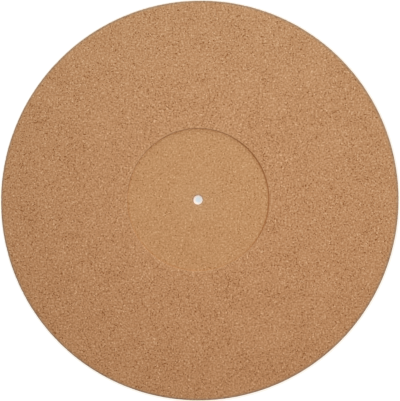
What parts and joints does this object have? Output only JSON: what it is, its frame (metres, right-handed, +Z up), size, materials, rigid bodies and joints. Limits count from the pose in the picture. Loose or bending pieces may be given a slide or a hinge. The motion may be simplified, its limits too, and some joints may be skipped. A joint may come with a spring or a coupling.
{
  "type": "turntable platter mat",
  "caption": "Flat round cork mat for a record player's platter, with a shallow label recess and a spindle hole.",
  "frame": {"origin": "centre of the spindle hole, at the underside that lies on the platter", "axes": "+Z is up along the spindle, towards the record; X and Y are alike, because the mat is round"},
  "size_m": [0.3, 0.3, 0.003],
  "materials": {
    "cork": "matte"
  },
  "bodies": {
    "root": {"cork_mat": "cork"}
  },
  "joints": []
}
